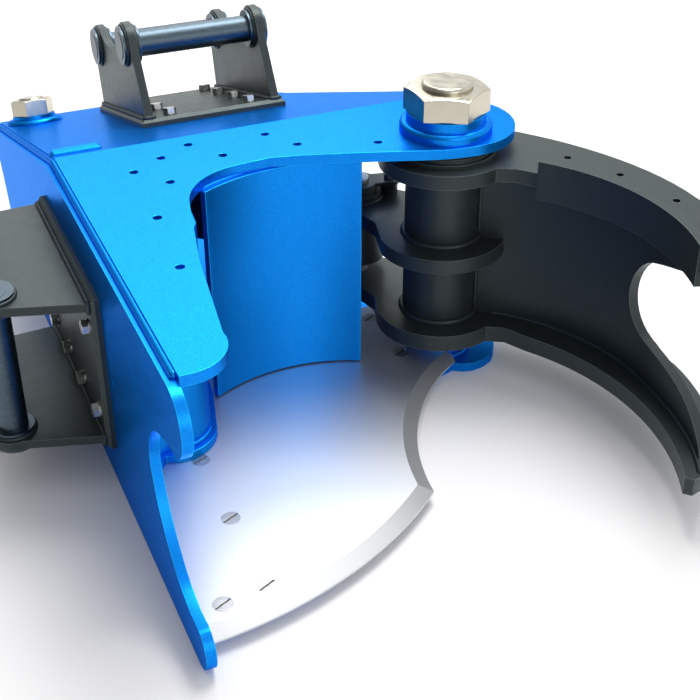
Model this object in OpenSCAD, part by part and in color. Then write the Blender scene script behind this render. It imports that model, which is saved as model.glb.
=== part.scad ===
// Tree shear for an excavator: a welded frame carries a fixed blade, and a curved
// arm, closed by one hydraulic cylinder, presses the trunk onto the blade.
// Frame: origin on the pivot's axis at the underside of the bottom plate, +Z up,
// +Y towards the closed rear of the frame, -X towards the side plate.

/* [Frame plates] */
// Thickness of the top plate
top_t = 16; // [12:1:20]
// Thickness of the bottom plate
bottom_t = 16; // [12:1:20]
// Clear height between the blade's top and the top plate's underside
clear_h = 360; // [340:5:400]
// Distance from the pivot's axis to the side plate's inner face
side_x = 580; // [560:5:620]
// Thickness of the side plate
side_t = 14; // [10:1:18]
// Radius of the top plate's lobe round the pivot
top_lobe_r = 100; // [96:1:104]
// Radius of the bottom plate's lobe round the pivot
bottom_lobe_r = 98; // [94:1:102]
// Distance from the pivot's axis back to the bend of the top plate
bend_y = 132; // [125:1:140]
// Slope of the top plate behind the bend
slope = 16; // [12:0.5:18]
// Length of the sloped part along the slope
slope_len = 580; // [560:5:600]
// Thickness of the deflector
deflector_t = 10; // [8:1:14]
// Radius of the curved deflector
deflector_r = 252; // [240:2:262]
// Thickness of the ribs inside the frame
rib_t = 14; // [10:1:18]
// Thickness of the corner foot on the blade
foot_t = 14; // [10:1:16]
// Diameter of the small holes in the top plate
small_hole_d = 13; // [8:1:16]

/* [Blade] */
// Thickness of the blade
blade_t = 14; // [10:1:18]
// Radius of the concave cutting edge
cut_r = 380; // [376:1:384]
// Width of the ground bevel
bevel_w = 22; // [14:1:28]
// Diameter of a blade screw's head
screw_head_d = 27; // [22:1:32]
// Diameter of a blade screw's shank
screw_d = 16; // [12:1:18]

/* [Pivot] */
// Diameter of the pivot pin
pivot_d = 80; // [70:1:82]
// Radial running clearance of the pins
run_gap = 0.06; // [0.02:0.01:0.1]
// Width across the flats of the pivot nut
pivot_nut_af = 116; // [104:1:122]
// Height of the pivot nut
pivot_nut_h = 38; // [34:1:46]
// Outer diameter of the arm's hub tube
hub_d = 120; // [114:1:130]
// Wall of the bushes in the hub
bush_wall = 6; // [4:0.5:8]

/* [Arm] */
// Radius of the leaves round the hub
leaf_r = 104; // [98:1:110]
// Thickness of the arm's lower plate
arm_low_t = 28; // [20:1:30]
// Thickness of the arm's middle leaf
arm_mid_t = 25; // [20:1:30]
// Thickness of the arm's top plate
arm_top_t = 23; // [18:1:28]
// Gap between the arm's top plate and the frame's top plate
arm_top_gap = 17; // [14:1:22]
// Height of the arm's lower plate above the blade
arm_low_gap = 32; // [26:1:38]
// Thickness of the arm's web
web_t = 16; // [12:1:20]
// Height of the grip strip on the arm's top plate
strip_h = 63; // [50:1:70]
// Thickness of the grip strip
strip_t = 12; // [8:1:14]

/* [Cylinder] */
// Outer diameter of the barrel
barrel_d = 100; // [90:1:106]
// Wall of the barrel
barrel_wall = 10; // [7:0.5:12]
// Length of the barrel between its base cap and its gland
barrel_len = 400; // [380:5:410]
// Diameter of the piston rod
rod_d = 50; // [40:1:56]
// Diameter of the pin at the rod's eye
rod_pin_d = 44; // [38:1:48]
// Radial clearance of the rod's eye on its pin
eye_gap = 12; // [11.8:0.1:13]
// Outer diameter of the rod's eye
eye_d = 104; // [98:1:110]
// Diameter of the pin at the cylinder's base
base_pin_d = 34; // [30:1:36]
// Diameter of the ball in the base eye
base_ball_d = 62; // [56:1:66]

/* [Hitch brackets] */
// Width of a bracket's base along its pins
hitch_w = 250; // [240:2:260]
// Length of a bracket's base
hitch_len = 340; // [320:2:350]
// Thickness of a bracket's base
hitch_t = 13; // [11:1:16]
// Thickness of a bracket's ear
ear_t = 14; // [12:1:18]
// Height of the front pin above the frame plate
hitch_pin_h = 130; // [122:1:140]
// Diameter of a hitch pin
hitch_pin_d = 44; // [38:1:50]
// Distance between the two hitch pins
hitch_pin_gap = 212; // [200:1:216]
// Diameter of a bracket bolt
hitch_bolt_d = 12; // [10:1:14]

/* [Hidden] */
$fn = 72;

blue = "#1f7fd6";
black = "#2b2f30";
steel = "#c8ccd0";

// Levels
blade_z = bottom_t;
blade_top = blade_z + blade_t;
plate_low = blade_top + clear_h;
plate_top = plate_low + top_t;
arm_low_z = blade_top + arm_low_gap;
arm_top_z = plate_low - arm_top_gap - arm_top_t;
arm_mid_z = (arm_low_z + arm_low_t + arm_top_z) / 2 - arm_mid_t / 2 - 3;
cyl_z = (arm_low_z + arm_low_t + arm_mid_z) / 2;
side_out = -side_x - side_t;
weld_step = 10;
side_top = plate_top - weld_step;
washer_t = 4;
face_gap = 0.3;

// Cylinder line, from the middle of the base ball to the rod eye. The eye rests a
// little off the lever's pin, which evens out the linkage over the arm's swing.
base_pin_s = 503;
pin_down = (plate_top - base_pin_s * sin(slope) - cyl_z) / cos(slope);
base_xy = [-526, bend_y + base_pin_s * cos(slope) - pin_down * sin(slope)];
rod_pin_xy = [-75, 175];
eye_rest_xy = rod_pin_xy + [3.3, 10.8];
cyl_angle = atan2(eye_rest_xy[1] - base_xy[1], eye_rest_xy[0] - base_xy[0]);
cyl_len = norm(eye_rest_xy - base_xy);

// A round stretch, a Bezier stretch and a band of even thickness beside a path
function arc(c, r, a0, a1, n = 14) =
  [for (i = [0:n]) let (a = a0 + (a1 - a0) * i / n) c + r * [cos(a), sin(a)]];
function bezier(a, b, c, d, n = 14) =
  [for (i = [0:n]) let (t = i / n, u = 1 - t)
    u * u * u * a + 3 * u * u * t * b + 3 * u * t * t * c + t * t * t * d];
function side_of(p, i) =
  let (d = p[min(i + 1, len(p) - 1)] - p[max(i - 1, 0)]) [-d[1], d[0]] / norm(d);
function band(p, t) = concat(p, [for (i = [len(p) - 1:-1:0]) p[i] + t * side_of(p, i)]);

module slab(points, z, t) { translate([0, 0, z]) linear_extrude(t) polygon(points); }
module ring(r_out, r_in, h) {
  difference() {
    cylinder(h = h, r = r_out);
    translate([0, 0, -1]) cylinder(h = h + 2, r = r_in);
  }
}
module hex(af, h) { cylinder(h = h, d = af / cos(30), $fn = 6); }
// Hexagon head with a chamfered crown, as a nut or a bolt head has it
module crowned_hex(af, h) {
  intersection() {
    hex(af, h);
    union() {
      cylinder(h = h - af * 0.04, r = af);
      translate([0, 0, h - af * 0.04]) cylinder(h = af * 0.04, d1 = af / cos(30), d2 = af * 0.96);
    }
  }
}
// Places its children on the sloped part: x as in the frame, y along the slope
module on_slope(z = 0) { translate([0, bend_y, plate_top]) rotate([-slope, 0, 0]) translate([0, 0, z]) children(); }

// Top plate
lobe_c = [20, 20];
front_edge = concat(
  arc(lobe_c, top_lobe_r, 24, -58, 18),
  bezier(lobe_c + top_lobe_r * [cos(-60), sin(-60)], [42, -84], [-10, -82], [-60, -64], 8),
  [[-116, -44], [-172, -25], [-243, -3], [-286, 7]],
  arc([-328, -112], 115, 96, 168, 12),
  [[-478, -250]],
  arc([4 - side_x + 11, -433], 60, 8, -88, 10));
small_holes = [[-264, 91], [-384, 100], [-232, 37], [-435, 70], [-348, 43],
  [-485, 38], [-446, -14], [-494, -114], [-506, -257], [-117, -5]];
slope_right = [[-160, slope_len - 3], [-90, 336], [39, 98], [76, 0]];
top_outline = concat(
  [[-side_x, -493], [-side_x, bend_y + slope_len], [-160, bend_y + slope_len]],
  [for (p = slope_right) [p[0], bend_y + p[1] * cos(slope)]],
  front_edge);
// The plate's bent profile, first number along Y, second up
bend_in = top_t * tan(slope / 2);
bent_profile = [[-600, plate_low], [bend_y - bend_in, plate_low],
  [bend_y + slope_len * cos(slope) - top_t * sin(slope), plate_top - slope_len * sin(slope) - top_t * cos(slope)],
  [bend_y + slope_len * cos(slope), plate_top - slope_len * sin(slope)],
  [bend_y, plate_top], [-600, plate_top]];
tab_x = [-side_x + 3, -507];
tab_y = 158;

module top_plate() {
  color(blue) difference() {
    intersection() {
      translate([-side_x - 10, 0, 0]) rotate([90, 0, 90]) linear_extrude(side_x + 200) polygon(bent_profile);
      slab(top_outline, 0, plate_top + 50);
    }
    translate([0, 0, plate_low - 1]) cylinder(h = top_t + 2, d = pivot_d + 1);
    for (h = small_holes) translate([h[0], h[1], plate_low - 1])
      cylinder(h = top_t + 2, d = small_hole_d, $fn = 32);
    on_slope(-top_t - 1) translate([base_xy[0], base_pin_s, 0])
      cylinder(h = top_t + 2, d = base_pin_d + 1);
    on_slope(-top_t - 1) hitch_bolt_places(top_hitch_x, top_hitch_s)
      cylinder(h = top_t + 2, d = hitch_bolt_d + 1.2, $fn = 32);
    translate([tab_x[0] - 1, tab_y - 0.5, plate_low - 40])
      cube([tab_x[1] - tab_x[0] + 2, rib_t + 1, 80]);
  }
}

// Bottom plate; its mouth edge stays behind the blade's concave edge
cut_c = [192, -399.5];
bottom_rear = 570;
bottom_edge = concat(
  arc([0, 0], bottom_lobe_r, 25, -48, 18),
  [[48, -82], [26, -86], [8, -81], [-6, -72]],
  [[-30, -80], [-60, -92]],
  arc(cut_c, cut_r + 25, 132, 172, 10),
  [[-300, -400], [-430, -480], [-side_x, -506], [-side_x, bottom_rear],
   [-200, bottom_rear], [-60, 400], [70, 150]]);
blade_screws_at = [[-477, -174], [-479, -316], [-479, -462], [-543, -472], [-80, -27], [-83, 93]];

module bottom_plate() {
  color(blue) difference() {
    slab(bottom_edge, 0, bottom_t);
    for (p = blade_screws_at) translate([p[0], p[1], -1]) cylinder(h = bottom_t + 2, d = screw_d + 0.6, $fn = 32);
    for (p = blade_screws_at) translate([p[0], p[1], -1]) cylinder(h = nut_pocket_h + 1, d = nut_pocket_d, $fn = 48);
  }
}
nut_pocket_h = 11;
nut_pocket_d = 34;

// Side plate, drawn in its own plane: first number along Y, second up
side_outline = concat(
  [[bottom_rear, 0], [690, side_top - (690 - bend_y) * tan(slope)], [bend_y, side_top]],
  arc([-489, side_top - 47], 47, 90, 250, 14),
  [[-474, side_top - 95], [-443, side_top - 104]],
  bezier([-430, side_top - 108], [-385, side_top - 122], [-350, side_top - 176], [-371, side_top - 218], 12),
  bezier([-374, 170], [-386, 132], [-425, 90], [-470, 70], 10),
  [[-502, 62]],
  arc([-530, 32], 32, 100, 270, 12));
side_holes = [[-194, 211], [-216, 87]];

module side_plate() {
  color(blue) difference() {
    translate([-side_x, 0, 0]) rotate([90, 0, -90]) mirror([1, 0, 0]) linear_extrude(side_t) polygon(side_outline);
    side_hitch_at() hitch_bolt_places(0, 0)
      translate([0, 0, -side_t - 1]) cylinder(h = side_t + 2, d = hitch_bolt_d + 1.2, $fn = 32);
    for (h = side_holes) translate([side_out - 1, h[0], h[1]]) rotate([0, 90, 0])
      cylinder(h = side_t + 2, d = small_hole_d - 3, $fn = 32);
  }
}

// Deflector and the small plates of the frame's front left corner
deflector_c = [-272, -250];
deflector_path = arc(deflector_c, deflector_r, 62, 121, 26);
guide_path = concat([[-side_x, -166], [-side_x + 6, -166], [-520, -154]], arc([-494, -98], 56, -110, -20, 12), [[-434, -52]]);

module deflector() { color(blue) slab(band(deflector_path, -deflector_t), blade_top + 2, clear_h - 2); }
module guide_wall() {
  color(blue) slab(band(guide_path, deflector_t), blade_top + foot_t, clear_h - foot_t);
}
module corner_foot() {
  color(blue) slab(concat([[-side_x, -188], [-541, -182]], arc([-497, -102], 67, -115, -15, 14),
    [[-412, -40], [-406, -2], [-side_x, -2]]), blade_top, foot_t);
}

// Ribs inside the frame; the cross rib's tab comes up through the top plate
module cross_rib() {
  tab_top = plate_top - (tab_y - bend_y) * tan(slope) + 5;
  color(blue) {
    translate([-side_x, tab_y, bottom_t]) cube([120, rib_t, plate_low - bottom_t - 14]);
    translate([tab_x[0], tab_y, plate_low - 15]) cube([tab_x[1] - tab_x[0], rib_t, tab_top - plate_low + 15]);
  }
}
module deflector_rib() {
  color(blue) translate([-300 - rib_t / 2, deflector_c[1] + deflector_r + deflector_t, blade_top + 4])
    cube([rib_t, 110, clear_h - 4]);
}

// Pivot
boss_r = 52;
collar_h = 16;
module pivot_boss() {
  color(blue) translate([0, 0, bottom_t]) ring(boss_r, pivot_d / 2, arm_low_z - bottom_t - washer_t);
}
module lower_thrust_washer() {
  color(steel) translate([0, 0, arm_low_z - washer_t]) ring(boss_r - 1, pivot_d / 2 + run_gap, washer_t - face_gap);
}
module upper_thrust_washer() {
  color(steel) translate([0, 0, plate_low - washer_t]) ring(72, pivot_d / 2 + run_gap, washer_t);
}
module pivot_collar() {
  color(blue) translate([0, 0, plate_top]) {
    rotate_extrude($fn = 96) translate([64, 0]) polygon(concat([[-22, 0], [8, 0]], arc([0, 9], 8, 0, 90, 8), [[-22, 17]]));
    translate([0, 0, 17]) ring(62, pivot_d / 2 + 1, collar_h - 1);
  }
}
module pivot_pin() {
  color(steel) translate([0, 0, bottom_t]) {
    cylinder(h = nut_z + pivot_nut_h + 4 - bottom_t, d = pivot_d);
    translate([0, 0, nut_z + pivot_nut_h + 4 - bottom_t]) cylinder(h = 4, d1 = pivot_d, d2 = pivot_d - 8);
  }
}
nut_z = plate_top + 10 + collar_h + 6;
module pivot_nut() {
  color(steel) translate([0, 0, nut_z]) difference() {
    rotate([0, 0, 32]) crowned_hex(pivot_nut_af, pivot_nut_h);
    translate([0, 0, -1]) cylinder(h = pivot_nut_h + 2, d = pivot_d);
  }
}

// Blade: ground along the concave cutting edge and the long front edge
front_c = [-608, 120];
front_r = 642;
module blade() {
  color(steel) difference() {
    intersection() {
      slab(concat([[-side_x, -600], [-side_x, 60], [-470, 130], [-30, 130], [-1, 60], [-1, -120], [-100, -620]]),
        blade_z, blade_t);
      translate([front_c[0], front_c[1], blade_z]) {
        cylinder(h = 3, r = front_r, $fn = 256);
        translate([0, 0, 3]) cylinder(h = blade_t - 3, r1 = front_r, r2 = front_r - bevel_w, $fn = 256);
      }
    }
    translate([cut_c[0], cut_c[1], blade_z - 1]) cylinder(h = 4, r = cut_r, $fn = 192);
    translate([cut_c[0], cut_c[1], blade_z + 2.99]) cylinder(h = blade_t - 2.98, r1 = cut_r, r2 = cut_r + bevel_w, $fn = 192);
    translate([0, 0, blade_z - 1]) cylinder(h = blade_t + 2, r = boss_r + 3);
    for (p = blade_screws_at) translate([p[0], p[1], blade_z - 1]) {
      cylinder(h = blade_t + 2, d = screw_d + 0.6, $fn = 32);
      translate([0, 0, 1 + blade_t - screw_cone_h - 0.3])
        cylinder(h = screw_cone_h + 0.31, d1 = screw_d, d2 = screw_head_d + 0.6, $fn = 48);
    }
  }
}
screw_cone_h = 7;
module blade_screws() {
  color(steel) for (p = blade_screws_at) translate([p[0], p[1], 0]) difference() {
    union() {
      translate([0, 0, 1]) cylinder(h = blade_top - 1, d = screw_d, $fn = 48);
      translate([0, 0, blade_top - screw_cone_h]) cylinder(h = screw_cone_h, d1 = screw_d, d2 = screw_head_d, $fn = 48);
    }
    rotate([0, 0, 25]) translate([-screw_head_d / 2, -1.5, blade_top - 3]) cube([screw_head_d, 3, 4]);
  }
}
module blade_nuts() {
  color(steel) for (p = blade_screws_at) translate([p[0], p[1], 1]) difference() {
    hex(24, nut_pocket_h - 1);
    translate([0, 0, -1]) cylinder(h = nut_pocket_h + 2, d = screw_d, $fn = 48);
  }
}

// Cylinder base: a tilted pin through the sloped plate and a shelf parallel to it
shelf_gap = 66;
shelf_down = pin_down + shelf_gap;
shelf_t = 16;
module at_base_pin(z) { on_slope(z) translate([base_xy[0], base_pin_s, 0]) children(); }
module cylinder_shelf() {
  color(blue) difference() {
    on_slope(-shelf_down - shelf_t) translate([-side_x, base_pin_s - 42, 0]) cube([106, 82, shelf_t]);
    at_base_pin(-shelf_down - shelf_t - 1) cylinder(h = shelf_t + 2, d = base_pin_d + 0.2);
  }
}
base_collar_h = 14;
module base_pin() {
  color(steel) {
    at_base_pin(-shelf_down - shelf_t - 6) cylinder(h = shelf_down + shelf_t + 6 + base_collar_h, d = base_pin_d);
    at_base_pin(base_collar_h) rotate([0, 0, 4]) crowned_hex(66, 28);
    at_base_pin(base_collar_h + 28) cylinder(h = 3, d1 = 46, d2 = 40);
  }
}
module base_pin_collar() {
  color(blue) at_base_pin(0) {
    rotate_extrude($fn = 72) translate([42, 0]) polygon(concat([[-20, 0], [8, 0]], arc([0, 0], 8, 0, 90, 8), [[-20, 8]]));
    translate([0, 0, 8]) ring(38, base_pin_d / 2 + 0.5, base_collar_h - 8);
  }
}
base_ball_half = 24;
spacer_at = 34;
module base_spacers() {
  color(steel) {
    at_base_pin(-pin_down + spacer_at) ring(24, base_pin_d / 2 + 0.1, pin_down - spacer_at - top_t);
    at_base_pin(-shelf_down) ring(24, base_pin_d / 2 + 0.1, shelf_gap - spacer_at);
  }
}
module base_ball() {
  color(steel) at_base_pin(-pin_down) difference() {
    union() { intersection() {
      sphere(d = base_ball_d, $fn = 96);
      translate([0, 0, -base_ball_half]) cylinder(h = 2 * base_ball_half, d = base_ball_d);
    }
    translate([0, 0, -spacer_at]) cylinder(h = 2 * spacer_at, d = base_pin_d + 5);
    }
    translate([0, 0, -base_ball_d]) cylinder(h = 2 * base_ball_d, d = base_pin_d + 0.1);
  }
}

// Hitch bracket, drawn lying on its base: X along the pins, Y along the base, Z away
ear_x = hitch_w / 2 - ear_t / 2 - 8;
pin_front_y = 78;
pin_rear_drop = 10;
lobe_r = 38;
pins_at = [[pin_front_y, hitch_pin_h], [pin_front_y + hitch_pin_gap, hitch_pin_h - pin_rear_drop]];
ear_foot_y = [7, hitch_len - 7];
bolt_ys = [28, 118, 208, 298];
bolt_x = hitch_w / 2 - 55;
rim = 6;

module hitch_bolt_places(x, y) {
  for (sx = [-1, 1], by = bolt_ys) translate([x + sx * bolt_x, y + by, 0]) children();
}
module hitch_base() {
  difference() {
    union() {
      translate([-hitch_w / 2, 0, 0]) cube([hitch_w, hitch_len, hitch_t - rim]);
      hull() {
        translate([-hitch_w / 2, 0, hitch_t - rim]) cube([hitch_w, hitch_len, 0.01]);
        translate([-hitch_w / 2 + rim, rim, hitch_t - 0.01]) cube([hitch_w - 2 * rim, hitch_len - 2 * rim, 0.01]);
      }
    }
    hitch_bolt_places(0, 0) translate([0, 0, -1]) cylinder(h = hitch_t + 2, d = hitch_bolt_d + 1.2, $fn = 32);
  }
}
// One ear: its foot tapers to two round lobes with a round notch between them,
// whose arc runs smoothly into both lobes
notch_r = 117;
pin_line = pins_at[1] - pins_at[0];
notch_up = sqrt(pow(notch_r + lobe_r, 2) - pow(norm(pin_line) / 2, 2));
notch_c = (pins_at[0] + pins_at[1]) / 2 + notch_up * [-pin_line[1], pin_line[0]] / norm(pin_line);
notch_a = atan2(notch_c[1] - pins_at[0][1], notch_c[0] - pins_at[0][0]);
notch_b = atan2(notch_c[1] - pins_at[1][1], notch_c[0] - pins_at[1][0]);
ear_outline = concat(
  [[ear_foot_y[0], hitch_t]],
  arc(pins_at[0], lobe_r, 190, notch_a, 12),
  arc(notch_c, notch_r, 180 + notch_a, 180 + notch_b, 10),
  arc(pins_at[1], lobe_r, notch_b, -4, 12),
  [[ear_foot_y[1], hitch_t]]);
module hitch_ears() {
  for (sx = [-1, 1]) difference() {
    translate([sx * ear_x - ear_t / 2, 0, 0]) rotate([90, 0, 90]) linear_extrude(ear_t) polygon(ear_outline);
    for (p = pins_at) translate([-hitch_w, p[0], p[1]]) rotate([0, 90, 0]) cylinder(h = 2 * hitch_w, d = hitch_pin_d + 0.1);
  }
}
module hitch_pins() {
  for (p = pins_at) translate([0, p[0], p[1]]) rotate([0, 90, 0]) {
    cylinder(h = 2 * (ear_x + ear_t / 2 + 9), d = hitch_pin_d, center = true);
    for (sx = [-1, 1]) translate([0, 0, sx * (ear_x - ear_t / 2 - 4)]) cylinder(h = 8, d = 62, center = true);
    for (sx = [-1, 1]) translate([0, 0, sx * (ear_x + ear_t / 2 + 4)]) cylinder(h = 8, d = 64, center = true);
  }
}
module hitch_bolts(plate) {
  hitch_bolt_places(0, 0) {
    translate([0, 0, -plate - 14]) cylinder(h = plate + 14 + hitch_t, d = hitch_bolt_d, $fn = 32);
    translate([0, 0, hitch_t]) cylinder(h = 2, d = 22, $fn = 32);
    translate([0, 0, hitch_t + 2]) crowned_hex(19, 9);
    translate([0, 0, -plate - 10]) hex(18, 10);
  }
}

top_hitch_x = -279;
top_hitch_s = 165;
module top_hitch_at() { on_slope(0) translate([top_hitch_x, top_hitch_s, 0]) children(); }
module side_hitch_at() { translate([side_out, -157, 200]) rotate([0, -90, 0]) children(); }
module top_hitch_base() { color(black) top_hitch_at() hitch_base(); }
module top_hitch_ears() { color(black) top_hitch_at() hitch_ears(); }
module top_hitch_pins() { color(black) top_hitch_at() hitch_pins(); }
module top_hitch_bolts() { color(steel) top_hitch_at() hitch_bolts(top_t); }
module side_hitch_base() { color(black) side_hitch_at() hitch_base(); }
module side_hitch_ears() { color(black) side_hitch_at() hitch_ears(); }
module side_hitch_pins() { color(black) side_hitch_at() hitch_pins(); }
module side_hitch_bolts() { color(steel) side_hitch_at() hitch_bolts(side_t); }

// Arm plates
arm_inner = concat(
  arc([0, 0], leaf_r, 118, 292, 34),
  [[66, -112]],
  arc([-235, -365], 386, 34, -29, 26));
strip_c = [-150, -354];
strip_r = 321;
arm_top_inner = concat(
  arc([0, 0], leaf_r, 118, 292, 34),
  [[66, -112]],
  arc(strip_c, strip_r, 42, -34, 30));
arm_tip = [[112, -562], [136, -556], [150, -541]];
arm_outer = concat(
  bezier([150, -541], [206, -500], [252, -410], [257, -310], 12),
  bezier([256, -300], [262, -160], [170, 0], [62, 84], 16));
lever_left = [[-125, 168], [-96, 118], [-86, 60]];
lever_eye_r = 50;
lever_outline = concat(
  arc([0, 0], leaf_r, 176, 396, 40),
  [[40, 120]],
  arc(rod_pin_xy, lever_eye_r, 58, 186, 20),
  [[-100, 122], [-88, 66]]);
web_path = concat(bezier([44, -42], [150, -118], [190, -240], [184, -330], 16),
  bezier([183, -340], [178, -430], [160, -500], [128, -556], 12));
web_cut = concat(
  [[-620, 60], [-548, 78], [-520, 106]],
  bezier([-486, 121], [-430, 146], [-360, 148], [-320, 156], 8),
  bezier([-316, 157], [-258, 172], [-258, 262], [-312, 287], 14),
  bezier([-320, 290], [-350, 302], [-400, 316], [-432, 328], 6),
  [[-520, 354], [-620, 384]]);
strip_path = arc(strip_c, strip_r, 42, -20, 26);
arm_small_holes = [[158, -106], [198, -190], [224, -296]];
strip_low = arm_top_z - 15;

module arm_top_plate() {
  color(black) difference() {
    slab(concat(arm_top_inner, arm_tip, arm_outer), arm_top_z, arm_top_t);
    translate([0, 0, arm_top_z - 1]) cylinder(h = arm_top_t + 2, d = hub_d);
    for (h = arm_small_holes) translate([h[0], h[1], arm_top_z - 1])
      cylinder(h = arm_top_t + 2, d = small_hole_d - 1, $fn = 32);
    slab(band(strip_path, -strip_t - 0.01), arm_top_z - 1, arm_top_t + 2);
  }
}
module arm_middle_leaf() {
  color(black) difference() {
    slab(lever_outline, arm_mid_z, arm_mid_t);
    translate([0, 0, arm_mid_z - 1]) cylinder(h = arm_mid_t + 2, d = hub_d);
    translate([rod_pin_xy[0], rod_pin_xy[1], arm_mid_z - 1]) cylinder(h = arm_mid_t + 2, d = rod_pin_d + 0.1);
  }
}
module arm_lower_plate() {
  color(black) difference() {
    union() {
      slab(concat(arm_inner, arm_tip, arm_outer), arm_low_z, arm_low_t);
      slab(lever_outline, arm_low_z, arm_low_t);
    }
    translate([0, 0, arm_low_z - 1]) cylinder(h = arm_low_t + 2, d = hub_d);
    translate([rod_pin_xy[0], rod_pin_xy[1], arm_low_z - 1]) cylinder(h = arm_low_t + 2, d = rod_pin_d + 0.1);
  }
}
module arm_web() {
  color(black) difference() {
    slab(band(web_path, web_t), arm_low_z + arm_low_t, arm_top_z - arm_low_z - arm_low_t);
    translate([0, 0, arm_low_z]) cylinder(h = clear_h, d = hub_d);
    translate([0, 0, arm_mid_z]) cylinder(h = arm_mid_t, r = leaf_r + 0.2);
    translate([60, 0, 0]) rotate([90, 0, 90]) linear_extrude(220) polygon(web_cut);
  }
}
module arm_grip_strip() { color(black) slab(band(strip_path, -strip_t), strip_low, strip_h); }
module arm_hub_tube() {
  color(black) translate([0, 0, arm_low_z]) ring(hub_d / 2, pivot_d / 2 + bush_wall, arm_top_z + arm_top_t - arm_low_z);
}
bush_len = 90;
module upper_bush() {
  color("#b08d57") translate([0, 0, arm_top_z + arm_top_t - bush_len]) ring(pivot_d / 2 + bush_wall, pivot_d / 2 + run_gap, bush_len);
}
module lower_bush() {
  color("#b08d57") translate([0, 0, arm_low_z]) ring(pivot_d / 2 + bush_wall, pivot_d / 2 + run_gap, bush_len);
}
module arm_thrust_ring() {
  color(black) translate([0, 0, arm_top_z + arm_top_t]) {
    ring(82, pivot_d / 2 + run_gap, 7);
    translate([0, 0, 7]) ring(74, pivot_d / 2 + run_gap, arm_top_gap - washer_t - 7 - face_gap);
  }
}

// Rod pin with its boss and keeper on the middle leaf
boss_h = 20;
keeper_at = [-18, 163];
module at_rod_pin(z) { translate([rod_pin_xy[0], rod_pin_xy[1], z]) children(); }
module rod_pin() {
  color(steel) {
    at_rod_pin(arm_low_z - 2) cylinder(h = arm_mid_z + arm_mid_t + boss_h + 14 - arm_low_z + 2, d = rod_pin_d);
    at_rod_pin(arm_mid_z + arm_mid_t + boss_h + 12) cylinder(h = 3, d1 = rod_pin_d, d2 = rod_pin_d - 6);
  }
}
module rod_pin_boss() {
  color(black) {
    at_rod_pin(arm_mid_z + arm_mid_t) ring(44, rod_pin_d / 2 + 0.05, boss_h - 8);
    at_rod_pin(arm_mid_z + arm_mid_t + boss_h - 8) ring(36, rod_pin_d / 2 + 0.05, 8);
    translate([keeper_at[0], keeper_at[1], arm_mid_z + arm_mid_t]) ring(15, 5.2, boss_h);
  }
}
keeper_angle = atan2(keeper_at[1] - rod_pin_xy[1], keeper_at[0] - rod_pin_xy[0]);
module rod_pin_keeper() {
  color(black) difference() {
    at_rod_pin(arm_mid_z + arm_mid_t + boss_h) rotate([0, 0, keeper_angle]) union() {
      translate([0, -20, 0]) cube([norm(keeper_at - rod_pin_xy), 40, 7]);
      cylinder(h = 7, r = 36);
      translate([norm(keeper_at - rod_pin_xy), 0, 0]) cylinder(h = 7, r = 20);
    }
    at_rod_pin(arm_mid_z + arm_mid_t + boss_h - 1) cylinder(h = 9, d = rod_pin_d + 0.1);
    translate([keeper_at[0], keeper_at[1], arm_mid_z + arm_mid_t + boss_h - 1]) cylinder(h = 9, r = 5.3);
  }
}
module keeper_bolts() {
  color(steel) translate([keeper_at[0], keeper_at[1], arm_mid_z + arm_mid_t + 4]) {
    cylinder(h = boss_h + 3, r = 5);
    translate([0, 0, boss_h + 3]) crowned_hex(17, 8);
  }
}

// Hydraulic cylinder along its own X, from the base ball to the rod pin
base_eye_r = 46;
base_eye_h = 44;
base_cap_x = [38, 66];
gland_len = 46;
barrel_x = base_cap_x[1];
gland_x = barrel_x + barrel_len - 12;
module on_cylinder() { translate([base_xy[0], base_xy[1], cyl_z]) rotate([0, 0, cyl_angle]) children(); }
module along_x(x) { translate([x, 0, 0]) rotate([0, 90, 0]) children(); }

module cylinder_barrel() {
  color(black) on_cylinder() difference() {
    along_x(barrel_x) cylinder(h = barrel_len, d = barrel_d);
    along_x(barrel_x - 1) cylinder(h = barrel_len + 2, d = barrel_d - 2 * barrel_wall);
    for (x = port_x) translate([x, 0, 0]) rotate([-90 + port_tilt, 0, 0]) {
      cylinder(h = barrel_d, d = 14, $fn = 32);
      translate([0, 0, barrel_d / 2 - 1.6]) cylinder(h = 6, d = 18.6, $fn = 48);
    }
  }
}
module cylinder_base() {
  color(black) on_cylinder() difference() {
    union() {
      translate([0, 0, -base_eye_h / 2]) cylinder(h = base_eye_h, r = base_eye_r);
      along_x(base_cap_x[0]) cylinder(h = base_cap_x[1] - base_cap_x[0], d = barrel_d);
      translate([0, -30, -base_eye_h / 2]) cube([base_cap_x[0] + 4, 60, base_eye_h]);
    }
    sphere(d = base_ball_d + 0.8, $fn = 96);
    translate([0, 0, -50]) cylinder(h = 100, d = base_pin_d + 22);
  }
}
module cylinder_gland() {
  color(black) on_cylinder() difference() {
    union() {
      along_x(gland_x) cylinder(h = 12, d = barrel_d - 2 * barrel_wall);
      along_x(gland_x + 12) cylinder(h = gland_len - 18, d = barrel_d + 6);
      along_x(gland_x + gland_len - 6) cylinder(h = 8, d1 = barrel_d + 6, d2 = barrel_d - 10);
    }
    along_x(gland_x - 1) cylinder(h = gland_len + 6, d = rod_d + 2 * run_gap);
  }
}
port_x = [barrel_x + 24, gland_x - 22];
port_tilt = 25;
port_h = 22;
port_d = 34;
module cylinder_ports() {
  color(steel) on_cylinder() for (x = port_x) difference() {
    translate([x, 0, 0]) rotate([-90 + port_tilt, 0, 0]) translate([0, 0, barrel_d / 2 - 5]) cylinder(h = port_h + 5, d = port_d, $fn = 48);
    translate([x, 0, 0]) rotate([-90 + port_tilt, 0, 0]) cylinder(h = barrel_d, d = 18, $fn = 48);
    along_x(x - port_d) cylinder(h = 2 * port_d, d = barrel_d);
  }
}
piston_x = barrel_x + 14;
piston_len = 40;
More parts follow.
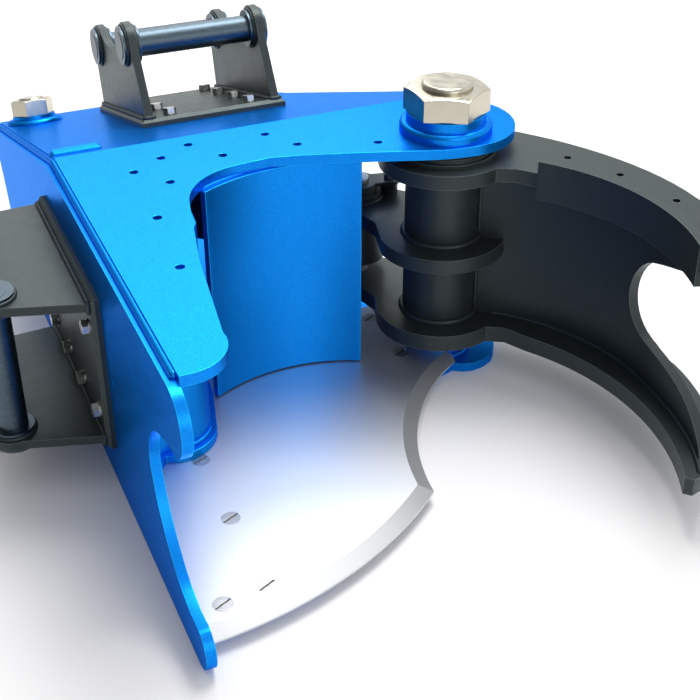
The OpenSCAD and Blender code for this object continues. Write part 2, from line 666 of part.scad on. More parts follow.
module piston_rod() {
  color(steel) on_cylinder() along_x(piston_x) cylinder(h = cyl_len - eye_d / 2 + 6 - piston_x, d = rod_d);
}
module piston() {
  color(steel) on_cylinder() difference() {
    along_x(piston_x) cylinder(h = piston_len, d = barrel_d - 2 * barrel_wall - 2 * run_gap);
    along_x(piston_x - 1) cylinder(h = piston_len + 2, d = rod_d);
    along_x(piston_x + 14) ring(barrel_d, barrel_d / 2 - barrel_wall - 5, 12);
  }
}
module piston_seal() {
  color("#202020") on_cylinder() along_x(piston_x + 14)
    ring(barrel_d / 2 - barrel_wall - 2 * run_gap, barrel_d / 2 - barrel_wall - 5, 12);
}
eye_h = 72;
module rod_eye() {
  color(black) on_cylinder() difference() {
    union() {
      translate([cyl_len, 0, -eye_h / 2]) cylinder(h = eye_h, d = eye_d);
      along_x(cyl_len - eye_d / 2 - 16) cylinder(h = 30, d = 66);
    }
    translate([cyl_len, 0, -eye_h]) cylinder(h = 2 * eye_h, r = rod_pin_d / 2 + eye_gap);
    along_x(cyl_len - eye_d) cylinder(h = eye_d / 2 + 6, d = rod_d);
  }
}

top_plate();
bottom_plate();
side_plate();
deflector();
guide_wall();
corner_foot();
cross_rib();
deflector_rib();
pivot_boss();
pivot_collar();
pivot_pin();
pivot_nut();
lower_thrust_washer();
upper_thrust_washer();
blade();
blade_screws();
blade_nuts();
cylinder_shelf();
base_pin();
base_pin_collar();
base_spacers();
base_ball();
top_hitch_base();
top_hitch_ears();
top_hitch_pins();
top_hitch_bolts();
side_hitch_base();
side_hitch_ears();
side_hitch_pins();
side_hitch_bolts();
arm_top_plate();
arm_middle_leaf();
arm_lower_plate();
arm_web();
arm_grip_strip();
arm_hub_tube();
upper_bush();
lower_bush();
arm_thrust_ring();
rod_pin();
rod_pin_boss();
rod_pin_keeper();
keeper_bolts();
cylinder_barrel();
cylinder_base();
cylinder_gland();
cylinder_ports();
piston_rod();
piston();
piston_seal();
rod_eye();
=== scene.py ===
"""Dresses the excavator tree shear: paint, steel, rounded edges, weld seams, floor, light and camera."""
import math

import bmesh
import bpy
from bpy.props import FloatProperty, FloatVectorProperty, PointerProperty
from mathutils import Matrix, Vector


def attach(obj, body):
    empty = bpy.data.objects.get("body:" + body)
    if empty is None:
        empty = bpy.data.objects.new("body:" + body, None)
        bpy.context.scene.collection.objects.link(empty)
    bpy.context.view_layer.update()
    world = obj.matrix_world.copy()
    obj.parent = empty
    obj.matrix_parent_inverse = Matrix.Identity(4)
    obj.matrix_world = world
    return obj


bl_info = {
    "name": "Excavator tree shear",
    "version": (1, 0, 0),
    "blender": (4, 5, 0),
    "location": "View3D > Sidebar > Tree shear",
    "description": "Paints, finishes and lights an excavator tree shear",
    "category": "Object",
}

MM = 0.001
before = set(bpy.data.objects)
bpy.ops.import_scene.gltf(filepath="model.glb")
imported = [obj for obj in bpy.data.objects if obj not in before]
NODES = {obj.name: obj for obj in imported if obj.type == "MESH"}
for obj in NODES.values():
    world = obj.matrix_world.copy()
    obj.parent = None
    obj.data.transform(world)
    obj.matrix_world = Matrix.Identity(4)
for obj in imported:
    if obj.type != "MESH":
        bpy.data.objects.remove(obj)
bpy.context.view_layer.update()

# Which nodes take which finish
BLUE_PLATES = (
    "top_plate", "bottom_plate", "side_plate", "deflector", "guide_wall", "corner_foot",
    "cross_rib", "deflector_rib", "cylinder_shelf",
)
BLUE_TURNED = ("pivot_boss", "pivot_collar", "base_pin_collar")
BLACK_PLATES = (
    "arm_top_plate", "arm_middle_leaf", "arm_lower_plate", "arm_web", "arm_grip_strip",
    "rod_pin_keeper",
)
BLACK_TURNED = (
    "arm_hub_tube", "arm_thrust_ring", "rod_pin_boss", "upper_thrust_washer",
    "cylinder_barrel", "cylinder_base", "cylinder_gland", "rod_eye",
)
BRACKET_PLATES = ("top_hitch_base", "top_hitch_ears", "side_hitch_base", "side_hitch_ears")
BRACKET_PINS = ("top_hitch_pins", "side_hitch_pins")
FASTENERS = ("top_hitch_bolts", "side_hitch_bolts", "keeper_bolts", "blade_nuts")
MACHINED = (
    "base_spacers", "base_ball", "lower_thrust_washer", "piston",
    "cylinder_ports", "rod_pin",
)

# Levels and places of the solids, in millimetres
BLADE_TOP = 30.0
PLATE_LOW = 390.0
PLATE_TOP = 406.0
SIDE_X = -580.0
SIDE_TOP = 396.0
BEND_Y = 132.0
SLOPE = math.radians(16.0)
ARM_SEAMS = (90.0, 204.5, 229.5, 350.0)
HUB_R = 60.0
ROD_PIN = (-75.0, 175.0)
ROD_PIN_BOSS_R = 45.0
WEB_FOOT = (46.0, -42.0)
DEFLECTOR_C = (-272.0, -250.0)
DEFLECTOR_OUT_R = 263.0
PIVOT_BOSS_R = 52.0
BLADE_HORN = (-184.0, -372.0, 25.0)
BLADE_HOLLOW_C = (192.0, -399.5, 23.0)
BLADE_HOLLOW_R = 402.5
TOP_HITCH = (-279.0, 165.0)
SIDE_HITCH = (-157.0, 200.0)
HITCH_BASE = (250.0, 340.0, 13.0)
HITCH_PINS = ((78.0, 130.0), (290.0, 120.0))
EAR_X = 110.0
EAR_T = 14.0


# Node materials

def new_material(name):
    """An empty material with its Principled shader."""
    material = bpy.data.materials.new(name)
    material.use_nodes = True
    return material, material.node_tree, material.node_tree.nodes["Principled BSDF"]


def node(tree, kind, inputs=None, **settings):
    """Adds a shader node with its settings and its unlinked inputs."""
    made = tree.nodes.new(kind)
    for key, value in settings.items():
        setattr(made, key, value)
    for key, value in (inputs or {}).items():
        made.inputs[key].default_value = value
    return made


def grain(tree, scale, detail=3.0, stretch=(1.0, 1.0, 1.0)):
    """A noise in the part's own metres, finer with a larger scale; returns its factor socket."""
    place = node(tree, "ShaderNodeTexCoord")
    mapping = node(tree, "ShaderNodeMapping", {"Scale": stretch})
    noise = node(tree, "ShaderNodeTexNoise", {"Scale": scale, "Detail": detail})
    tree.links.new(place.outputs["Object"], mapping.inputs["Vector"])
    tree.links.new(mapping.outputs["Vector"], noise.inputs["Vector"])
    return noise.outputs["Fac"]


def remap(tree, source, low, high, start=0.3, end=0.7):
    """Turns a factor between start and end into a value between low and high."""
    ranged = node(
        tree, "ShaderNodeMapRange",
        {"From Min": start, "From Max": end, "To Min": low, "To Max": high},
    )
    tree.links.new(source, ranged.inputs["Value"])
    return ranged.outputs["Result"]


def mix(tree, factor, first, second):
    """Mixes two colours, given as colours or sockets, by a factor socket."""
    mixed = node(tree, "ShaderNodeMix", data_type="RGBA")
    tree.links.new(factor, mixed.inputs["Factor"])
    for socket, value in ((mixed.inputs["A"], first), (mixed.inputs["B"], second)):
        if isinstance(value, bpy.types.NodeSocket):
            tree.links.new(value, socket)
        else:
            socket.default_value = (*value[:3], 1.0)
    return mixed.outputs["Result"]


def edge_highlight_mask(tree, width):
    """One along the sharp edges, fading to nothing over the width; it marks where a painted highlight goes."""
    rounded = node(tree, "ShaderNodeBevel", {"Radius": width}, samples=4)
    plain = node(tree, "ShaderNodeNewGeometry")
    dot = node(tree, "ShaderNodeVectorMath", operation="DOT_PRODUCT")
    tree.links.new(rounded.outputs["Normal"], dot.inputs[0])
    tree.links.new(plain.outputs["Normal"], dot.inputs[1])
    return remap(tree, dot.outputs["Value"], 1.0, 0.0, 0.72, 0.97)


def add_bump(tree, shader, source, distance, strength=0.3):
    """Lifts the surface by a factor, over the distance."""
    bump = node(tree, "ShaderNodeBump", {"Strength": strength, "Distance": distance})
    tree.links.new(source, bump.inputs["Height"])
    tree.links.new(bump.outputs["Normal"], shader.inputs["Normal"])


def paint(name, colour, shade, edge, sheen, metallic, roughness, coat, flake=900.0):
    """Metallic paint: fine flake, soft cloudy shade, orange peel and a painted highlight along its edges."""
    material, tree, shader = new_material(name)
    shader.inputs["Metallic"].default_value = metallic
    shader.inputs["Coat Weight"].default_value = coat
    shader.inputs["Coat Roughness"].default_value = 0.22
    shader.inputs["Specular Tint"].default_value = (*sheen, 1.0)
    fine = remap(tree, grain(tree, flake, 2.0), 0.0, 1.0, 0.35, 0.65)
    flakes = mix(tree, fine, shade, colour)
    cloud = remap(tree, grain(tree, 9.0, 4.0), 0.0, 0.14)
    cloudy = mix(tree, cloud, flakes, shade)
    # The edges take a brighter colour: a painted highlight where rounded edges would catch the light.
    edge_lit = mix(tree, edge_highlight_mask(tree, 2.2 * MM), cloudy, edge)
    tree.links.new(edge_lit, shader.inputs["Base Color"])
    rough = remap(tree, grain(tree, 60.0, 4.0), roughness - 0.03, roughness + 0.03)
    tree.links.new(rough, shader.inputs["Roughness"])
    add_bump(tree, shader, grain(tree, 420.0, 2.0), 0.12 * MM, 0.35)
    return material


def steel(name, colour, dark, roughness, scratch, stretch, bump=0.08, edge=None):
    """Bare metal with drawn or turned scratches, dull patches and a painted highlight on its edges."""
    material, tree, shader = new_material(name)
    shader.inputs["Metallic"].default_value = 1.0
    lines = remap(tree, grain(tree, scratch, 4.0, stretch), 0.0, 1.0, 0.3, 0.7)
    patches = remap(tree, grain(tree, 14.0, 5.0), 0.0, 0.5, 0.42, 0.75)
    tone = mix(tree, patches, mix(tree, lines, dark, colour), dark)
    # An edge colour, when given, is a painted highlight along the edges.
    if edge is not None:
        tone = mix(tree, edge_highlight_mask(tree, 1.2 * MM), tone, edge)
    tree.links.new(tone, shader.inputs["Base Color"])
    rough = remap(tree, grain(tree, scratch, 4.0, stretch), roughness - 0.04, roughness + 0.1)
    tree.links.new(rough, shader.inputs["Roughness"])
    add_bump(tree, shader, grain(tree, scratch, 4.0, stretch), bump * MM, 0.25)
    return material


def blade_steel(name, looks):
    """Finely ground blade steel, with a straw heat tint on the bevel by the horn and a painted dark reflection
    on its concave bevel.
    """
    material, tree, shader = new_material(name)
    shader.inputs["Metallic"].default_value = 1.0
    lines = grain(tree, 26.0, 5.0, (1.0, 26.0, 1.0))
    tone = mix(tree, remap(tree, lines, 0.0, 1.0), looks.blade_dark, looks.blade_colour)
    geometry = node(tree, "ShaderNodeNewGeometry")
    place = node(tree, "ShaderNodeTexCoord")
    turned = node(
        tree, "ShaderNodeVectorTransform", vector_type="NORMAL", convert_from="WORLD", convert_to="OBJECT",
    )
    tree.links.new(geometry.outputs["Normal"], turned.inputs["Vector"])
    normal = node(tree, "ShaderNodeSeparateXYZ")
    tree.links.new(turned.outputs["Vector"], normal.inputs["Vector"])
    ground = remap(tree, normal.outputs["Z"], 1.0, 0.0, 0.91, 0.97)
    horn = node(tree, "ShaderNodeVectorMath", operation="DISTANCE")
    horn.inputs[1].default_value = [c * MM for c in BLADE_HORN]
    tree.links.new(place.outputs["Object"], horn.inputs[0])
    near = remap(tree, horn.outputs["Value"], 1.0, 0.0, 0.085, 0.125)
    tinted = node(tree, "ShaderNodeMath", operation="MULTIPLY")
    tree.links.new(ground, tinted.inputs[0])
    tree.links.new(near, tinted.inputs[1])
    tone = mix(tree, tinted.outputs["Value"], tone, looks.heat_tint)
    # The concave bevel is painted dark: a painted dark reflection.
    hollow = node(tree, "ShaderNodeVectorMath", operation="DISTANCE")
    hollow.inputs[1].default_value = [c * MM for c in BLADE_HOLLOW_C]
    tree.links.new(place.outputs["Object"], hollow.inputs[0])
    rim, blend = BLADE_HOLLOW_R * MM, 1.0 * MM
    dark_reflection_mask = remap(tree, hollow.outputs["Value"], 0.85, 0.0, rim - blend, rim + blend)
    tree.links.new(mix(tree, dark_reflection_mask, tone, looks.dark_bevel_reflection), shader.inputs["Base Color"])
    rough = remap(tree, lines, looks.blade_roughness - 0.02, looks.blade_roughness + 0.04)
    tree.links.new(rough, shader.inputs["Roughness"])
    add_bump(tree, shader, lines, 0.01 * MM, 0.15)
    return material


def rubber(name):
    """Matt black rubber with a fine grain."""
    material, tree, shader = new_material(name)
    fine = remap(tree, grain(tree, 300.0), 0.0, 1.0)
    tone = mix(tree, fine, (0.012, 0.012, 0.013), (0.03, 0.03, 0.032))
    tree.links.new(tone, shader.inputs["Base Color"])
    tree.links.new(remap(tree, grain(tree, 80.0), 0.6, 0.8), shader.inputs["Roughness"])
    add_bump(tree, shader, grain(tree, 500.0), 0.1 * MM)
    return material


def material_of(name, make, *values):
    """The named material, made at its first use."""
    return bpy.data.materials.get(name) or make(name, *values)


def blue_paint():
    looks = bpy.context.scene.tree_shear.paint
    return material_of(
        "metallic_blue_paint", paint, looks.blue, looks.blue_shade, looks.blue_edge_highlight,
        (0.04, 0.50, 1.0), 0.90, looks.blue_roughness, 0.04,
    )


def black_paint():
    looks = bpy.context.scene.tree_shear.paint
    return material_of(
        "charcoal_paint", paint, looks.black, looks.black_shade, looks.black_edge_highlight,
        (0.80, 0.95, 0.94), 0.30, looks.black_roughness, 0.06,
    )


def machined_steel():
    return material_of(
        "machined_steel", steel, (0.62, 0.64, 0.66), (0.36, 0.38, 0.40), 0.3, 40.0, (1.0, 1.0, 22.0),
    )


# Dressing the solids

def finish_node(name, material, edge=1.2, smooth=35.0):
    """Gives a solid its finish and rounds its sharp edges; its own mesh stays as it is."""
    solid = NODES[name]
    mesh = solid.data
    mesh.materials.clear()
    mesh.materials.append(material)
    for face in mesh.polygons:
        face.use_smooth = True
    weld = solid.modifiers.new("Join faces", "WELD")
    weld.merge_threshold = 0.004 * MM
    flat = solid.modifiers.new("Join flat faces", "DECIMATE")
    flat.decimate_type = "DISSOLVE"
    flat.angle_limit = math.radians(0.4)
    if edge > 0.0:
        bevel = solid.modifiers.new("Rounded edges", "BEVEL")
        bevel.width = edge * MM
        bevel.segments = 2
        bevel.limit_method = "ANGLE"
        bevel.angle_limit = math.radians(38.0)
        bevel.harden_normals = False
    split = solid.modifiers.new("Sharp edges", "EDGE_SPLIT")
    split.split_angle = math.radians(smooth)
    level = solid.modifiers.new("Even shading", "WEIGHTED_NORMAL")
    level.mode = "FACE_AREA"
    level.weight = 100
    level.keep_sharp = True


def add_piece(name, mesh, material, body):
    """Turns a mesh into a piece with its finish, on the body that carries it."""
    piece = bpy.data.objects.new(name, mesh)
    bpy.context.collection.objects.link(piece)
    mesh.materials.append(material)
    for face in mesh.polygons:
        face.use_smooth = True
    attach(piece, body)
    return piece


def even_points(points, step, closed):
    """Points at an even spacing along a line through the given ones."""
    ends = points[1:] + points[:1] if closed else points[1:]
    spaced = []
    for start, end in zip(points, ends):
        count = max(1, round((end - start).length / step))
        spaced += [start.lerp(end, i / count) for i in range(count)]
    return spaced if closed else spaced + [points[-1]]


def bead_mesh(name, lines, radius, pitch, ripple=0.16, sides=8):
    """Rippled weld beads along lines, each a list of points in millimetres and whether it closes."""
    shape = bmesh.new()
    for points, closed in lines:
        path = even_points([Vector(p) for p in points], pitch / 3.0, closed)
        count = len(path)
        rings = []
        for i, place in enumerate(path):
            before = path[i - 1] if (i or closed) else place
            after = path[(i + 1) % count] if (i + 1 < count or closed) else place
            along = (after - before).normalized()
            side = along.cross(Vector((0.31, 0.17, 0.93))).normalized()
            up = side.cross(along)
            wave = 1.0 - ripple * (0.5 + 0.5 * math.cos(2.0 * math.pi * i / 3.0))
            end = 1.0 if closed else min(1.0, 0.35 + 0.3 * min(i, count - 1 - i))
            ring = []
            for k in range(sides):
                turn = 2.0 * math.pi * k / sides
                off = (side * math.cos(turn) + up * math.sin(turn)) * radius * wave * end
                ring.append(shape.verts.new((place + off) * MM))
            rings.append(ring)
        joins = list(zip(rings, rings[1:] + rings[:1] if closed else rings[1:]))
        for first, second in joins:
            for k in range(sides):
                shape.faces.new((first[k], first[(k + 1) % sides], second[(k + 1) % sides], second[k]))
        if not closed:
            shape.faces.new(rings[0][::-1])
            shape.faces.new(rings[-1])
    bmesh.ops.recalc_face_normals(shape, faces=shape.faces)
    mesh = bpy.data.meshes.new(name)
    shape.to_mesh(mesh)
    shape.free()
    return mesh


def circle(centre, radius, z, count=72, start=0.0, end=360.0):
    """Points of a level circle, or of a stretch of one."""
    steps = count if end - start >= 360.0 else count + 1
    return [
        (
            centre[0] + radius * math.cos(math.radians(start + (end - start) * i / count)),
            centre[1] + radius * math.sin(math.radians(start + (end - start) * i / count)),
            z,
        )
        for i in range(steps)
    ]


def bezier(a, b, c, d, count=14):
    """Points of one Bezier stretch in plan."""
    return [
        tuple(
            (1 - t) ** 3 * a[k] + 3 * (1 - t) ** 2 * t * b[k] + 3 * (1 - t) * t * t * c[k] + t ** 3 * d[k]
            for k in (0, 1)
        )
        for t in (i / count for i in range(count + 1))
    ]


def on_slope(x, along, up):
    """A place on the sloped rear of the top plate: across, down the slope and off its face."""
    return (
        x,
        BEND_Y + along * math.cos(SLOPE) + up * math.sin(SLOPE),
        PLATE_TOP - along * math.sin(SLOPE) + up * math.cos(SLOPE),
    )


def on_side(x, along, up):
    """A place on the side bracket: along its pins, along its base and off the side plate."""
    return (-594.0 - up, SIDE_HITCH[0] + along, SIDE_HITCH[1] + x)


# Settings

def colour(name, text, default):
    """A colour that a user may change."""
    return FloatVectorProperty(
        name=name, description=text, default=default, subtype="COLOR", size=3, min=0.0, max=1.0,
    )


def fraction(name, text, default):
    """A value between nothing and one that a user may change."""
    return FloatProperty(name=name, description=text, default=default, min=0.0, max=1.0)


def length(name, text, default, least, most):
    """A length in millimetres that a user may change."""
    return FloatProperty(
        name=name, description=text, default=default * MM, min=least * MM, max=most * MM, unit="LENGTH",
    )


class PaintSettings(bpy.types.PropertyGroup):
    """Colours and gloss of the two paints"""
    blue: colour("Blue", "Frame paint where light strikes a flake", (0.006, 0.310, 0.920))
    blue_shade: colour("Blue shade", "Frame paint between the flakes", (0.003, 0.190, 0.740))
    # Painted highlight: the brighter blue along the frame's edges.
    blue_edge_highlight: colour("Blue edge", "Frame paint along its rubbed edges", (0.020, 0.560, 0.960))
    blue_roughness: fraction("Blue roughness", "Roughness of the frame paint", 0.34)
    black: colour("Charcoal", "Arm paint where light strikes a flake", (0.034, 0.044, 0.044))
    black_shade: colour("Charcoal shade", "Arm paint between the flakes", (0.020, 0.026, 0.027))
    # Painted highlight: the lighter charcoal along the arm's edges.
    black_edge_highlight: colour("Charcoal edge", "Arm paint along its rubbed edges", (0.170, 0.205, 0.200))
    black_roughness: fraction("Charcoal roughness", "Roughness of the arm paint", 0.42)


class SteelSettings(bpy.types.PropertyGroup):
    """Colours and gloss of the blade and the fasteners"""
    blade_colour: colour("Blade", "Ground steel of the blade", (0.97, 0.97, 0.97))
    blade_dark: colour("Blade scratches", "Grinding marks of the blade", (0.88, 0.89, 0.90))
    blade_roughness: fraction("Blade roughness", "Roughness of the ground blade", 0.05)
    heat_tint: colour("Heat tint", "Straw tint on the bevel by the horn", (0.50, 0.31, 0.09))
    # Painted dark reflection on the blade's concave bevel.
    dark_bevel_reflection: colour("Hollow bevel", "Darker ground steel of the concave bevel", (0.16, 0.15, 0.13))
    nut: colour("Pivot nut", "Nickel of the pivot nut", (0.60, 0.57, 0.47))
    zinc: colour("Bolts", "Zinc of the small bolts", (0.74, 0.75, 0.72))
    pins: colour("Bracket pins", "Blued steel of the bracket pins", (0.110, 0.150, 0.180))


class WeldSettings(bpy.types.PropertyGroup):
    """Sizes of the weld seams and the rounded edges"""
    edge: length("Plate edge", "Rounding of the plates' edges", 1.6, 0.0, 4.0)
    bead: length("Bead radius", "Radius of a weld bead", 5.0, 1.0, 9.0)
    pitch: length("Ripple pitch", "Distance between the ripples of a bead", 5.0, 2.0, 12.0)


class StageSettings(bpy.types.PropertyGroup):
    """Floor, light and camera"""
    floor: colour("Floor", "Plain floor", (0.89, 0.882, 0.880))
    sky: FloatProperty(
        name="Sky", description="Strength of the even light from all round", default=0.95, min=0.0, max=5.0,
    )
    key: FloatProperty(
        name="Key light", description="Power of the main soft light",
        default=85.0, min=0.0, max=1000.0, unit="POWER",
    )
    lens: FloatProperty(
        name="Lens", description="Focal length of the camera on a 36 mm sensor",
        default=65.83, min=10.0, max=200.0,
    )


class TreeShearSettings(bpy.types.PropertyGroup):
    """All settings of the tree shear"""
    paint: PointerProperty(type=PaintSettings)
    steel: PointerProperty(type=SteelSettings)
    welds: PointerProperty(type=WeldSettings)
    stage: PointerProperty(type=StageSettings)


# Operators, one for each group of pieces and one for the stage

class TREESHEAR_OT_stage(bpy.types.Operator):
    """Lays the floor, sets the lights and places the camera"""
    bl_idname = "tree_shear.stage"
    bl_label = "Floor, light and camera"

    def execute(self, context):
        looks = context.scene.tree_shear.stage
        camera_data = bpy.data.cameras.new("Camera")
        camera_data.lens = looks.lens
        camera_data.sensor_width = 36.0
        camera = bpy.data.objects.new("Camera", camera_data)
        camera.location = (-0.8698, -1.6378, 1.1977)
        camera.rotation_euler = (math.radians(57.0), 0.0, math.radians(-23.4))
        context.collection.objects.link(camera)
        context.scene.camera = camera
        self.lay_floor(context, looks)
        self.light(context, "Key", (0.6, 0.8, 3.3), looks.key, 1.6, (1.0, 0.99, 0.98))
        self.light(context, "Back", (0.4, 3.0, 2.6), looks.key * 0.36, 2.2, (0.98, 0.99, 1.0))
        self.light(context, "Front", (0.2, -3.4, 1.6), looks.key * 0.18, 2.0, (0.98, 0.99, 1.0))
        self.set_world(context, looks.sky)
        context.scene.view_settings.view_transform = "Standard"
        context.scene.view_settings.look = "None"
        return {"FINISHED"}

    def set_world(self, context, strength):
        """An even pale surround that falls off towards the side plate."""
        world = bpy.data.worlds.new("Studio")
        world.use_nodes = True
        tree = world.node_tree
        background = tree.nodes["Background"]
        background.inputs["Color"].default_value = (1.0, 0.995, 1.0, 1.0)
        heading = node(tree, "ShaderNodeTexCoord")
        parts = node(tree, "ShaderNodeSeparateXYZ")
        tree.links.new(heading.outputs["Generated"], parts.inputs["Vector"])
        level = remap(tree, parts.outputs["X"], 0.18 * strength, strength, -0.75, 0.1)
        tree.links.new(level, background.inputs["Strength"])
        context.scene.world = world

    def lay_floor(self, context, looks):
        """A wide plain floor under the part."""
        shape = bmesh.new()
        bmesh.ops.create_grid(shape, x_segments=8, y_segments=8, size=14.0)
        mesh = bpy.data.meshes.new("Floor")
        shape.to_mesh(mesh)
        shape.free()
        floor = bpy.data.objects.new("Floor", mesh)
        floor.location = (0.0, 0.0, -0.0005)
        context.collection.objects.link(floor)
        material, tree, shader = new_material("plain_floor")
        shader.inputs["Roughness"].default_value = 0.75
        soft = remap(tree, grain(tree, 3.0), 0.0, 1.0)
        pale = tuple(0.985 * c for c in looks.floor)
        tree.links.new(mix(tree, soft, pale, looks.floor), shader.inputs["Base Color"])
        mesh.materials.append(material)

    def light(self, context, name, place, power, size, tint):
        """A soft square light that faces the part."""
        data = bpy.data.lights.new(name, "AREA")
        data.energy = power
        data.size = size
        data.color = tint
        lamp = bpy.data.objects.new(name, data)
        lamp.location = place
        aim = Vector((-0.2, 0.0, 0.2)) - Vector(place)
        lamp.rotation_euler = aim.to_track_quat("-Z", "Y").to_euler()
        context.collection.objects.link(lamp)


class TREESHEAR_OT_frame(bpy.types.Operator):
    """Paints the frame's plates and bosses blue"""
    bl_idname = "tree_shear.frame"
    bl_label = "Blue frame"

    def execute(self, context):
        edge = context.scene.tree_shear.welds.edge / MM
        for name in BLUE_PLATES:
            finish_node(name, blue_paint(), edge, 15.0 if name == "top_plate" else 35.0)
        for name in BLUE_TURNED:
            finish_node(name, blue_paint(), edge * 0.6)
        return {"FINISHED"}


class TREESHEAR_OT_arm(bpy.types.Operator):
    """Paints the arm and the cylinder charcoal"""
    bl_idname = "tree_shear.arm"
    bl_label = "Black arm and cylinder"

    def execute(self, context):
        edge = context.scene.tree_shear.welds.edge / MM
        for name in BLACK_PLATES:
            finish_node(name, black_paint(), edge)
        for name in BLACK_TURNED:
            finish_node(name, black_paint(), edge * 0.6)
        for name in BRACKET_PLATES:
            finish_node(name, black_paint(), edge * 0.8)
        return {"FINISHED"}


class TREESHEAR_OT_blade(bpy.types.Operator):
    """Grinds the blade and its screws bright"""
    bl_idname = "tree_shear.blade"
    bl_label = "Blade and screws"

    def execute(self, context):
        looks = context.scene.tree_shear.steel
        finish_node("blade", material_of("blade_steel", blade_steel, looks), 0.25, 8.0)
        screws = material_of(
            "screw_steel", steel,
            (0.60, 0.60, 0.56), (0.34, 0.34, 0.32), 0.34, 60.0, (1.0, 12.0, 1.0), 0.1,
        )
        finish_node("blade_screws", screws, 0.5)
        return {"FINISHED"}


class TREESHEAR_OT_fasteners(bpy.types.Operator):
    """Gives the nuts, bolts, pins and hidden machined parts their metals"""
    bl_idname = "tree_shear.fasteners"
    bl_label = "Nuts, bolts and pins"

    def execute(self, context):
        looks = context.scene.tree_shear.steel
        # The last colour is a painted highlight along the edges of the pivot nut and pins.
        nickel = material_of(
            "nickel_nut", steel,
            looks.nut, (0.52, 0.49, 0.40), 0.17, 60.0, (1.0, 1.0, 1.4), 0.008, (0.88, 0.86, 0.78),
        )
        for name in ("pivot_nut", "pivot_pin", "base_pin"):
            finish_node(name, nickel, 1.4)
        zinc = material_of(
            "zinc_bolts", steel, looks.zinc, (0.45, 0.46, 0.45), 0.3, 160.0, (1.0, 1.0, 1.0), 0.1,
        )
        for name in FASTENERS:
            finish_node(name, zinc, 0.5)
        # The last colour is a painted highlight along the pins' edges.
        pins = material_of(
            "blued_pins", steel,
            looks.pins, (0.060, 0.084, 0.105), 0.34, 70.0, (1.0, 14.0, 14.0), 0.08, (0.18, 0.22, 0.25),
        )
        for name in BRACKET_PINS:
            finish_node(name, pins, 1.6)
        for name in MACHINED:
            finish_node(name, machined_steel(), 0.5)
        chrome = material_of(
            "chromed_rod", steel,
            (0.82, 0.83, 0.85), (0.66, 0.68, 0.70), 0.1, 50.0, (20.0, 20.0, 20.0), 0.02,
        )
        finish_node("piston_rod", chrome, 0.5)
        bronze = material_of(
            "bronze_bushes", steel,
            (0.55, 0.36, 0.16), (0.36, 0.22, 0.09), 0.32, 50.0, (1.0, 1.0, 24.0), 0.06,
        )
        for name in ("upper_bush", "lower_bush"):
            finish_node(name, bronze, 0.0)
        finish_node("piston_seal", material_of("seal_rubber", rubber), 0.0)
        return {"FINISHED"}


class TREESHEAR_OT_frame_welds(bpy.types.Operator):
    """Runs the blue weld seams of the frame"""
    bl_idname = "tree_shear.frame_welds"
    bl_label = "Frame welds"

    def execute(self, context):
        looks = context.scene.tree_shear.welds
        bead, pitch = looks.bead / MM, looks.pitch / MM
        seam = [(SIDE_X - 2.0, y, SIDE_TOP + 2.0) for y in (-482.0, -200.0, BEND_Y)]
        seam += [
            (SIDE_X - 2.0, BEND_Y + s * math.cos(SLOPE), SIDE_TOP + 2.0 - s * math.sin(SLOPE))
            for s in (290.0, 574.0)
        ]
        tab = [on_slope(x, s, 0.5) for x, s in ((-577.0, 26.5), (-506.0, 26.5), (-506.0, 42.0), (-577.0, 42.0))]
        deflector, under_plate = (
            circle(DEFLECTOR_C, DEFLECTOR_OUT_R, z, 30, 63.0, 120.0) for z in (BLADE_TOP + 3.0, PLATE_LOW - 1.0)
        )
        foot = circle((-494.0, -98.0), 56.5, 46.0, 14, -110.0, -24.0)
        low_seam = [(SIDE_X + 1.0, y, 17.0) for y in (140.0, 566.0)]
        inner_seam = [(SIDE_X + 1.0, y, PLATE_LOW - 1.0) for y in (-470.0, -170.0)]
        lines = [
            (tab, True), (deflector, False), (under_plate, False), (foot, False),
            (low_seam, False), (inner_seam, False), (circle((0.0, 0.0), PIVOT_BOSS_R + 1.5, 17.0), True),
        ]
        mesh = bead_mesh("frame_weld_beads", lines, bead * 0.8, pitch)
        add_piece("frame_weld_beads", mesh, blue_paint(), "frame")
        mesh = bead_mesh("side_seam_weld", [(seam, False)], bead * 1.25, pitch, 0.05, 12)
        add_piece("side_seam_weld", mesh, blue_paint(), "frame")
        return {"FINISHED"}


class TREESHEAR_OT_arm_welds(bpy.types.Operator):
    """Runs the weld seams of the arm round its hub and along its web"""
    bl_idname = "tree_shear.arm_welds"
    bl_label = "Arm welds"

    def execute(self, context):
        looks = context.scene.tree_shear.welds
        bead, pitch = looks.bead / MM, looks.pitch / MM
        hub = [(circle((0.0, 0.0), HUB_R + 1.5, z), True) for z in ARM_SEAMS]
        mesh = bead_mesh("hub_weld_beads", hub, bead * 1.1, pitch, 0.1, 10)
        add_piece("hub_weld_beads", mesh, black_paint(), "arm")
        plan = bezier((48, -44), (150, -118), (190, -240), (184, -330), 16)[1:]
        low = plan + bezier((183, -340), (178, -430), (160, -500), (128, -552), 12)
        lines = [([(x - 1.0, y, z) for x, y in low], False) for z in (ARM_SEAMS[0] + 1.0, ARM_SEAMS[3] - 1.0)]
        lines += [([(*WEB_FOOT, z) for z in ends], False) for ends in ((100.0, 198.0), (236.0, 344.0))]
        mesh = bead_mesh("web_weld_beads", lines, bead * 0.8, pitch)
        add_piece("web_weld_beads", mesh, black_paint(), "arm")
        lever = [(circle(ROD_PIN, ROD_PIN_BOSS_R, ARM_SEAMS[2] + 1.0, 48), True)]
        mesh = bead_mesh("lever_weld_bead", lever, bead * 0.6, pitch)
        add_piece("lever_weld_bead", mesh, black_paint(), "arm")
        return {"FINISHED"}


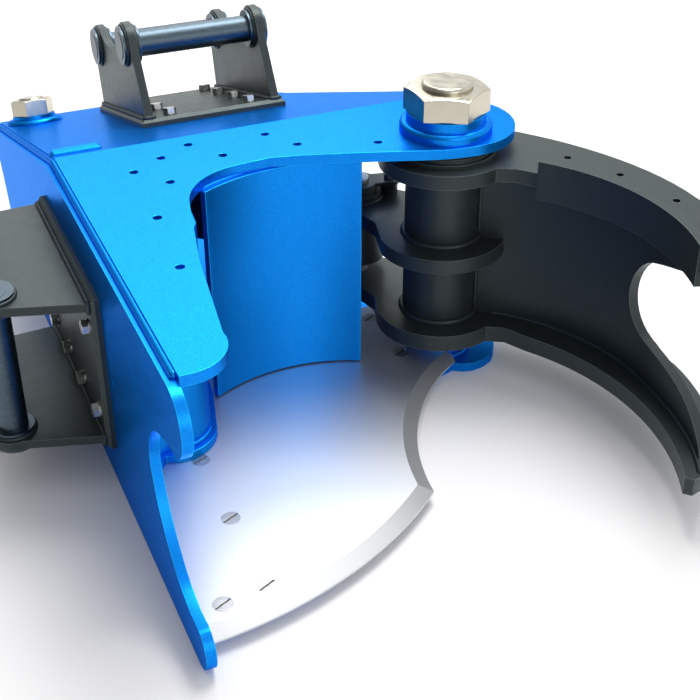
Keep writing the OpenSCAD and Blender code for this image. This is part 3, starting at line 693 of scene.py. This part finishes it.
class TREESHEAR_OT_bracket_welds(bpy.types.Operator):
    """Runs the weld seams of the two hitch brackets: round the ears' feet and the pins"""
    bl_idname = "tree_shear.bracket_welds"
    bl_label = "Bracket welds"

    def execute(self, context):
        looks = context.scene.tree_shear.welds
        bead, pitch = looks.bead / MM, looks.pitch / MM

        def top(x, along, up):
            return on_slope(TOP_HITCH[0] + x, TOP_HITCH[1] + along, up)

        for name, place in (("top_bracket", top), ("side_bracket", on_side)):
            feet, rings = [], []
            for side in (-1.0, 1.0):
                inner, outer = side * (EAR_X - EAR_T / 2.0 - 1.0), side * (EAR_X + EAR_T / 2.0 + 1.0)
                front, rear = 8.0, HITCH_BASE[1] - 8.0
                corners = ((inner, front), (outer, front), (outer, rear), (inner, rear))
                feet.append(([place(x, along, HITCH_BASE[2] + 1.0) for x, along in corners], True))
                for pin_y, pin_z in HITCH_PINS:
                    for x, radius in ((inner, 31.0), (outer, 32.0)):
                        ring = [
                            place(x, pin_y + radius * math.cos(turn), pin_z + radius * math.sin(turn))
                            for turn in (2.0 * math.pi * i / 48 for i in range(48))
                        ]
                        rings.append((ring, True))
            mesh = bead_mesh(name + "_foot_welds", feet, bead * 0.85, pitch)
            add_piece(name + "_foot_welds", mesh, black_paint(), "frame")
            mesh = bead_mesh(name + "_pin_welds", rings, bead * 0.7, pitch, 0.05, 10)
            add_piece(name + "_pin_welds", mesh, black_paint(), "frame")
        return {"FINISHED"}


class TREESHEAR_PT_panel(bpy.types.Panel):
    """Settings and steps of the tree shear"""
    bl_label = "Tree shear"
    bl_idname = "TREESHEAR_PT_panel"
    bl_space_type = "VIEW_3D"
    bl_region_type = "UI"
    bl_category = "Tree shear"

    def draw(self, context):
        settings = context.scene.tree_shear
        for group in (settings.paint, settings.steel, settings.welds, settings.stage):
            box = self.layout.box()
            for key in type(group).__annotations__:
                box.prop(group, key)
        for operator in OPERATORS:
            self.layout.operator(operator.bl_idname)


SETTINGS = (PaintSettings, SteelSettings, WeldSettings, StageSettings, TreeShearSettings)
OPERATORS = (
    TREESHEAR_OT_stage, TREESHEAR_OT_frame, TREESHEAR_OT_arm,
    TREESHEAR_OT_blade, TREESHEAR_OT_fasteners,
    TREESHEAR_OT_frame_welds, TREESHEAR_OT_arm_welds, TREESHEAR_OT_bracket_welds,
)


def register():
    for cls in (*SETTINGS, *OPERATORS, TREESHEAR_PT_panel):
        bpy.utils.register_class(cls)
    bpy.types.Scene.tree_shear = PointerProperty(type=TreeShearSettings)


def unregister():
    del bpy.types.Scene.tree_shear
    for cls in (TREESHEAR_PT_panel, *reversed(OPERATORS), *reversed(SETTINGS)):
        bpy.utils.unregister_class(cls)


def main():
    """Makes every piece."""
    register()
    for operator in OPERATORS:
        group, step = operator.bl_idname.split(".")
        getattr(getattr(bpy.ops, group), step)()


if __name__ == "__main__":
    main()
